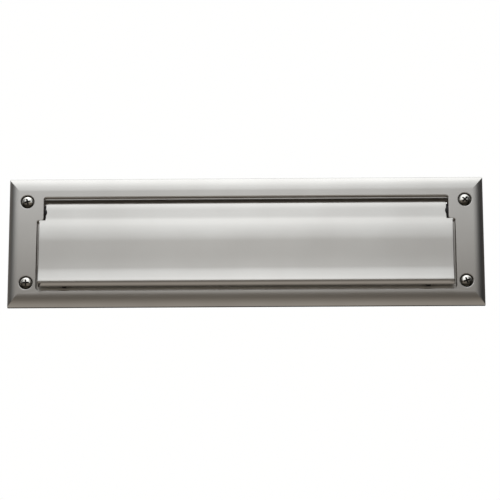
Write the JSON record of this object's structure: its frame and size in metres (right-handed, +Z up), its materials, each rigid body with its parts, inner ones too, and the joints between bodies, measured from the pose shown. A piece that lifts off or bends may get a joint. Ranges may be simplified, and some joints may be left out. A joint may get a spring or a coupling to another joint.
{
  "type": "letter plate",
  "caption": "Outside door letter plate: moulded rectangular face plate with a sprung, top-hinged ogee flap that lifts outward, fixed by oval-head wood screws at its corners.",
  "frame": {"origin": "centre of the plate's back face, the face that lies on the door", "axes": "+X along the plate's length, to the right as seen from the street; +Z up; -Y out of the front face, towards the street"},
  "size_m": [0.3302, 0.0395, 0.0922],
  "materials": {
    "satin_nickel": "satin nickel plate over brass",
    "bright_nickel": "bright nickel plated steel",
    "steel": "ground steel rod",
    "spring_steel": "oil-tempered spring steel",
    "nylon": "black moulded nylon",
    "rubber": "black rubber"
  },
  "bodies": {
    "plate": {"face_plate": "satin_nickel", "hinge_pin": "steel", "torsion_spring_left": "spring_steel", "torsion_spring_right": "spring_steel", "spacer_washer_left": "nylon", "spacer_washer_right": "nylon", "retaining_clip_left": "spring_steel", "retaining_clip_right": "spring_steel", "flap_bumper_left": "rubber", "flap_bumper_right": "rubber", "mounting_screws": "bright_nickel"},
    "flap": {"flap": "satin_nickel"}
  },
  "joints": [
    {"name": "flap_hinge", "type": "hinge", "parent": "plate", "child": "flap", "pos_m": [0, 0.0024, 0.0224], "axis": [-1, 0, 0], "range_deg": [0, 80], "stiffness_Nm_per_rad": 0.124, "springref_deg": -28.65, "deforming": ["torsion_spring_left", "torsion_spring_right"]}
  ]
}
